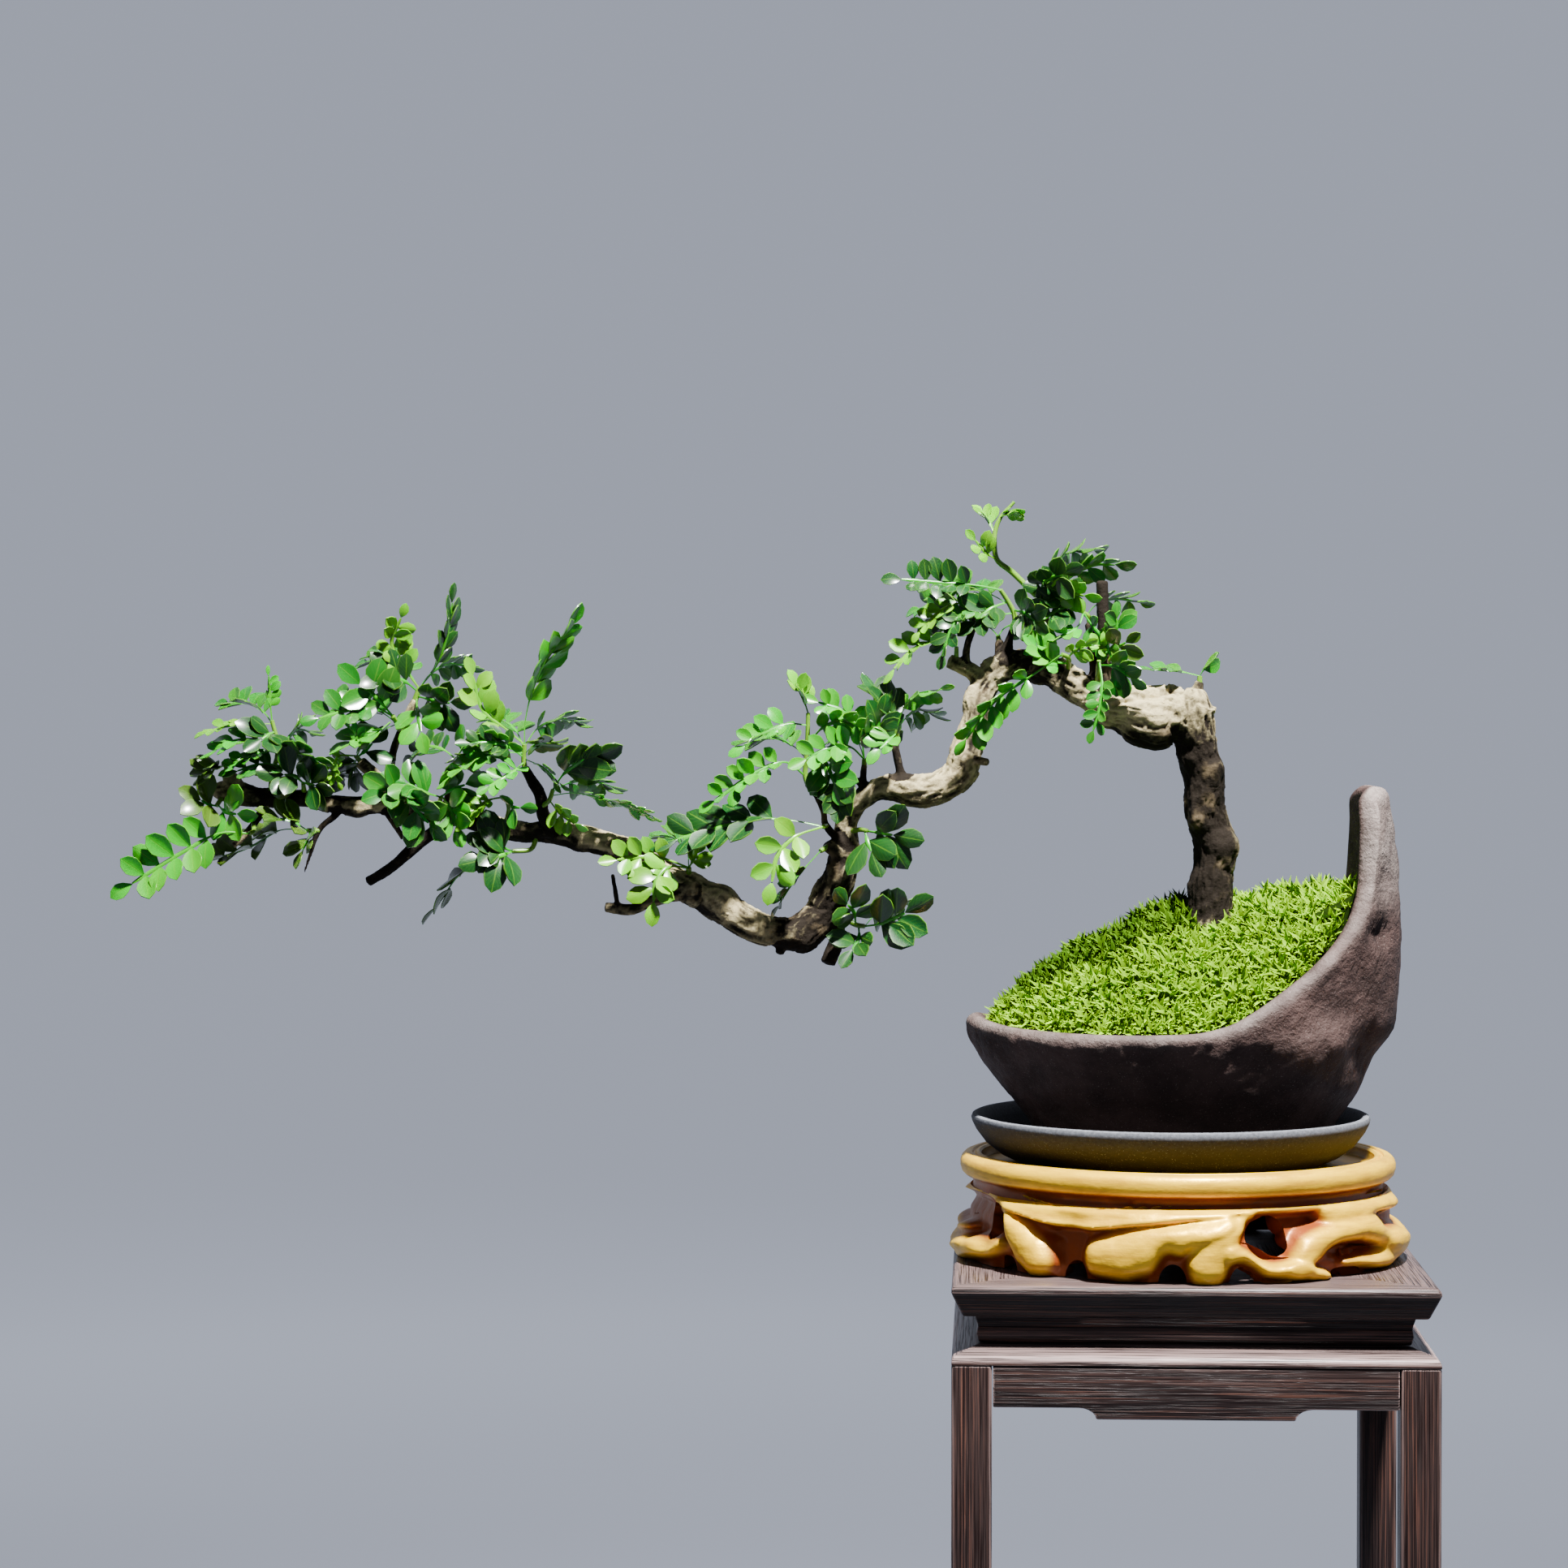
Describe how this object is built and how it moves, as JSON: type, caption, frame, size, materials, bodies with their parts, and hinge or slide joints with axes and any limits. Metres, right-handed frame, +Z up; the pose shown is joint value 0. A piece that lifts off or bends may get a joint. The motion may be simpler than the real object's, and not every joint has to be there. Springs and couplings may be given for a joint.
{
  "type": "japanese pepper bonsai",
  "caption": "Cascading Japanese pepper bonsai in an oval clay pot with an upswept rim, on a saucer, a carved round stand and a square wooden table.",
  "frame": {"origin": "middle of the underside of the whole object's box, on the floor under the table's legs", "axes": "+Z up; +X to the right and -Y towards the viewer, so the limb cascades towards -X"},
  "size_m": [0.4242, 0.15, 0.426],
  "materials": {
    "dark_wood": "dark brown open-grained wood with a satin oil finish and pale worn edges",
    "golden_wood": "golden yellow carved wood under a glossy varnish, darker in its hollows",
    "charcoal_clay": "matte charcoal unglazed clay",
    "pot_clay": "rough dark brown unglazed clay with a paler worn rim",
    "soil": "dark gritty potting soil",
    "moss": "short dense yellow-green moss",
    "bark": "pale grey-tan wrinkled bark",
    "leaf": "glossy green leaflets, lime where young"
  },
  "bodies": {
    "root": {"apron_back": "dark_wood", "apron_front": "dark_wood", "apron_left": "dark_wood", "apron_right": "dark_wood", "carved_stand": "golden_wood", "leg_back_left": "dark_wood", "leg_back_right": "dark_wood", "leg_front_left": "dark_wood", "leg_front_right": "dark_wood", "moss": "moss", "pot": "pot_clay", "saucer": "charcoal_clay", "soil": "soil", "spray_crown_back": "leaf", "spray_crown_droop": "leaf", "spray_crown_front": "leaf", "spray_crown_high_left": "leaf", "spray_crown_inner": "leaf", "spray_crown_knee": "leaf", "spray_crown_left": "leaf", "spray_crown_right": "leaf", "spray_crown_shoot": "leaf", "spray_crown_stub": "leaf", "spray_far_drooping": "leaf", "spray_far_end": "leaf", "spray_far_inner": "leaf", "spray_far_large": "leaf", "spray_far_low": "leaf", "spray_far_tall": "leaf", "spray_far_tip": "leaf", "spray_far_under": "leaf", "spray_left_below": "leaf", "spray_left_crown": "leaf", "spray_left_front": "leaf", "spray_left_right": "leaf", "spray_left_short": "leaf", "spray_left_stub": "leaf", "spray_left_tall": "leaf", "spray_left_young": "leaf", "spray_middle_centre": "leaf", "spray_middle_edge": "leaf", "spray_middle_front": "leaf", "spray_middle_hanging": "leaf", "spray_middle_low_left": "leaf", "spray_middle_low_right": "leaf", "spray_middle_right": "leaf", "spray_middle_top_left": "leaf", "spray_middle_top_right": "leaf", "table_shoulder": "dark_wood", "table_top": "dark_wood", "table_waist": "dark_wood", "tree_wood": "bark"}
  },
  "joints": []
}
